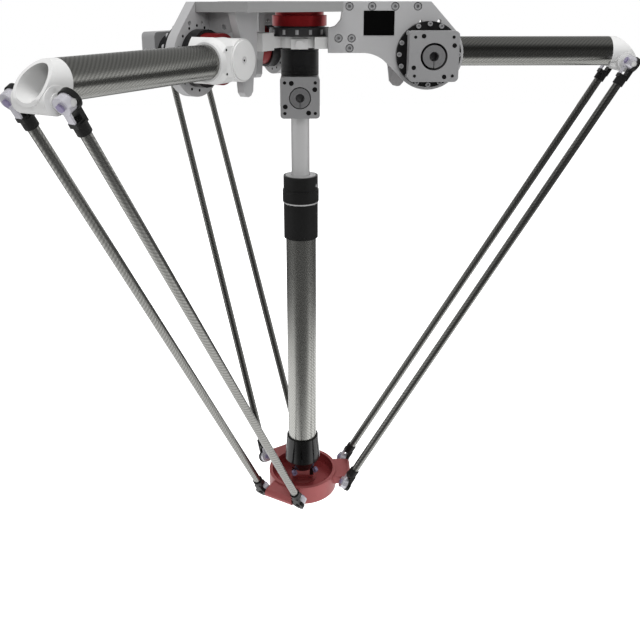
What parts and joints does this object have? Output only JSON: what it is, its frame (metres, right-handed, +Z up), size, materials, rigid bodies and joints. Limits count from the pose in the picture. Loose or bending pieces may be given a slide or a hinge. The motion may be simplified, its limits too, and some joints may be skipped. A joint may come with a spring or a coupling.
{
  "type": "delta robot",
  "caption": "Ceiling-hung delta robot: plate frame, carbon upper arms with paired rods, telescopic centre shaft and round red tool platform",
  "frame": {"origin": "Centre of the base top mounting face; the robot hangs below it", "axes": "X along the first arm, Z up out of the mounting face"},
  "size_m": [1.0997, 1.2602, 1.1388],
  "materials": {
    "plates": "satin, clear anodised",
    "gearbox_black": "satin",
    "flange_alloy": "satin",
    "screws": "satin",
    "red_anodised": "satin, red anodised",
    "pale_castings": "satin",
    "label_black": "matte",
    "clamp_steel": "satin",
    "carbon_tube": "satin carbon weave",
    "carbon_rod": "satin carbon weave",
    "fork_black": "satin",
    "pivot_alloy": "satin",
    "platform_red": "satin, red anodised",
    "tool_steel": "satin",
    "shaft_pale": "satin",
    "collar_black": "satin, black anodised"
  },
  "bodies": {
    "base": {"top_plate": "plates", "side_plate_a": "plates", "side_plate_b": "plates", "side_plate_c": "plates", "centre_plate_a": "plates", "centre_plate_b": "plates", "centre_plate_c": "plates", "gearbox_a": "gearbox_black", "gearbox_b": "gearbox_black", "gearbox_c": "gearbox_black", "motor_block_a": "flange_alloy", "motor_block_b": "flange_alloy", "motor_block_c": "flange_alloy", "screws_a": "screws", "screws_b": "screws", "screws_c": "screws", "red_ring": "red_anodised", "dark_flange": "gearbox_black", "hub_ring": "pale_castings", "drive_housing": "gearbox_black", "angle_gearbox": "flange_alloy", "rating_plate": "label_black"},
    "arm_a": {"hub_a": "pale_castings", "adaptor_a": "red_anodised", "tube_a": "carbon_tube", "elbow_a": "pale_castings"},
    "rod_pair_a": {"rods_a": "carbon_rod", "forks_top_a": "fork_black", "forks_bottom_a": "fork_black", "pivots_top_a": "pivot_alloy", "pivots_bottom_a": "pivot_alloy"},
    "motor_hub_a": {"input_hub_a": "clamp_steel"},
    "arm_b": {"hub_b": "pale_castings", "adaptor_b": "red_anodised", "tube_b": "carbon_tube", "elbow_b": "pale_castings"},
    "rod_pair_b": {"rods_b": "carbon_rod", "forks_top_b": "fork_black", "forks_bottom_b": "fork_black", "pivots_top_b": "pivot_alloy", "pivots_bottom_b": "pivot_alloy"},
    "motor_hub_b": {"input_hub_b": "clamp_steel"},
    "arm_c": {"hub_c": "pale_castings", "adaptor_c": "red_anodised", "tube_c": "carbon_tube", "elbow_c": "pale_castings"},
    "rod_pair_c": {"rods_c": "carbon_rod", "forks_top_c": "fork_black", "forks_bottom_c": "fork_black", "pivots_top_c": "pivot_alloy", "pivots_bottom_c": "pivot_alloy"},
    "motor_hub_c": {"input_hub_c": "clamp_steel"},
    "swivel_hub": {"drive_hub": "clamp_steel"},
    "tool_platform": {"platform": "platform_red"},
    "shaft_upper": {"upper_shaft": "shaft_pale"},
    "shaft_lower": {"collar": "collar_black", "shaft_tube": "carbon_tube", "cone": "collar_black", "tool_flange": "tool_steel"}
  },
  "joints": [
    {"name": "shoulder_a", "type": "hinge", "parent": "base", "child": "arm_a", "pos_m": [0.253, 0, -0.1], "axis": [0, 1, 0], "range_deg": [-4.5, 26.5]},
    {"name": "elbow_a", "type": "hinge", "parent": "arm_a", "child": "rod_pair_a", "pos_m": [0.678, 0, -0.122], "axis": [0, 1, 0], "range_deg": [-30, 6]},
    {"name": "motor_turn_a", "type": "hinge", "parent": "base", "child": "motor_hub_a", "pos_m": [0.253, -0.15, -0.1], "axis": [0, 1, 0], "range_deg": [-100, 560]},
    {"name": "shoulder_b", "type": "hinge", "parent": "base", "child": "arm_b", "pos_m": [-0.1265, 0.2191, -0.1], "axis": [-0.866, -0.5, 0], "range_deg": [-4.5, 26.5]},
    {"name": "elbow_b", "type": "hinge", "parent": "arm_b", "child": "rod_pair_b", "pos_m": [-0.339, 0.58717, -0.122], "axis": [-0.866, -0.5, 0], "range_deg": [-30, 6]},
    {"name": "motor_turn_b", "type": "hinge", "parent": "base", "child": "motor_hub_b", "pos_m": [0.0034, 0.2941, -0.1], "axis": [-0.866, -0.5, 0], "range_deg": [-100, 560]},
    {"name": "shoulder_c", "type": "hinge", "parent": "base", "child": "arm_c", "pos_m": [-0.1265, -0.2191, -0.1], "axis": [0.866, -0.5, 0], "range_deg": [-4.5, 26.5]},
    {"name": "elbow_c", "type": "hinge", "parent": "arm_c", "child": "rod_pair_c", "pos_m": [-0.339, -0.58717, -0.122], "axis": [0.866, -0.5, 0], "range_deg": [-30, 6]},
    {"name": "motor_turn_c", "type": "hinge", "parent": "base", "child": "motor_hub_c", "pos_m": [-0.2564, -0.1441, -0.1], "axis": [0.866, -0.5, 0], "range_deg": [-100, 560]},
    {"name": "platform_lift", "type": "slide", "parent": "base", "child": "tool_platform", "axis": [0, 0, 1], "range_m": [-0.23, 0.045]},
    {"name": "swivel", "type": "hinge", "parent": "base", "child": "shaft_upper", "pos_m": [0, 0, -0.233], "axis": [0, 0, 1], "continuous": true},
    {"name": "telescope", "type": "slide", "parent": "shaft_upper", "child": "shaft_lower", "axis": [0, 0, 1], "range_m": [-0.23, 0.045]},
    {"name": "swivel_drive", "type": "hinge", "parent": "base", "child": "swivel_hub", "pos_m": [0, -0.05, -0.191], "axis": [0, 1, 0], "continuous": true}
  ],
  "couplings": [
    {"joint": "elbow_a", "follows": "shoulder_a", "ratio": -1.102},
    {"joint": "motor_turn_a", "follows": "shoulder_a", "ratio": 21},
    {"joint": "shoulder_b", "follows": "shoulder_a", "ratio": 1},
    {"joint": "elbow_b", "follows": "shoulder_a", "ratio": -1.102},
    {"joint": "motor_turn_b", "follows": "shoulder_a", "ratio": 21},
    {"joint": "shoulder_c", "follows": "shoulder_a", "ratio": 1},
    {"joint": "elbow_c", "follows": "shoulder_a", "ratio": -1.102},
    {"joint": "motor_turn_c", "follows": "shoulder_a", "ratio": 21},
    {"joint": "platform_lift", "follows": "shoulder_a", "m_per_rad": -0.466},
    {"joint": "telescope", "follows": "shoulder_a", "m_per_rad": -0.466},
    {"joint": "swivel_drive", "follows": "swivel", "ratio": 5}
  ]
}
